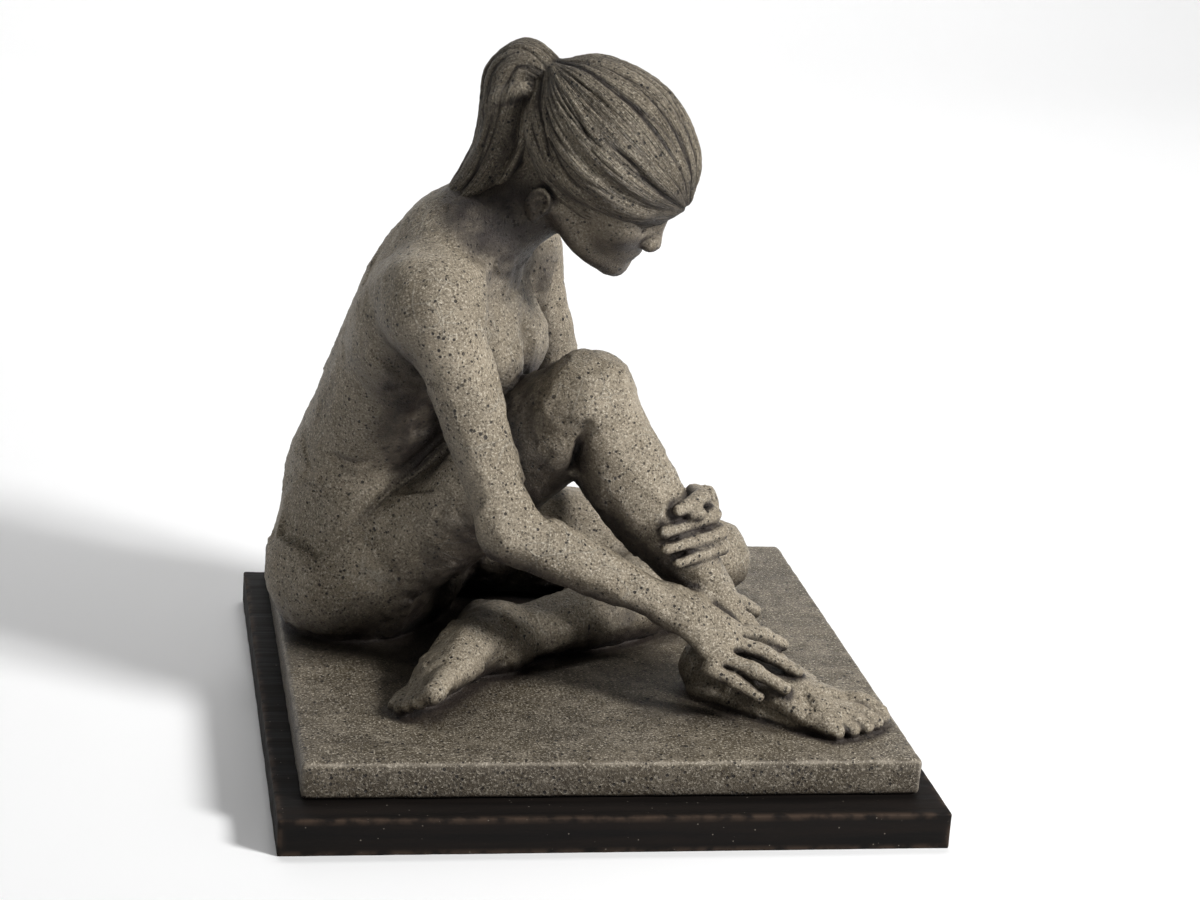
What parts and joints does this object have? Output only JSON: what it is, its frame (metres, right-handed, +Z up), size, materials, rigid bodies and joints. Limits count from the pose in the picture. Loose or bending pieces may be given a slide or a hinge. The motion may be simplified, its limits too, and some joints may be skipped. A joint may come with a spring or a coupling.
{
  "type": "seated woman sculpture",
  "caption": "Nude woman seated on a square slab, one knee raised, head bowed and hair tied back, reaching to her foot; cast stone on a dark wooden board.",
  "frame": {"origin": "middle of the board's underside", "axes": "+Z up, +X the way she faces, -Y the side of her raised right knee"},
  "size_m": [0.3, 0.3, 0.3292],
  "materials": {
    "cast_stone": "grey-brown cast stone, matt, full of small pores, dark wash in the hollows",
    "black_wood": "black-stained wood, satin, open grain, slightly worn along the edges"
  },
  "bodies": {
    "root": {"seated_figure": "cast_stone", "display_board": "black_wood"}
  },
  "joints": []
}
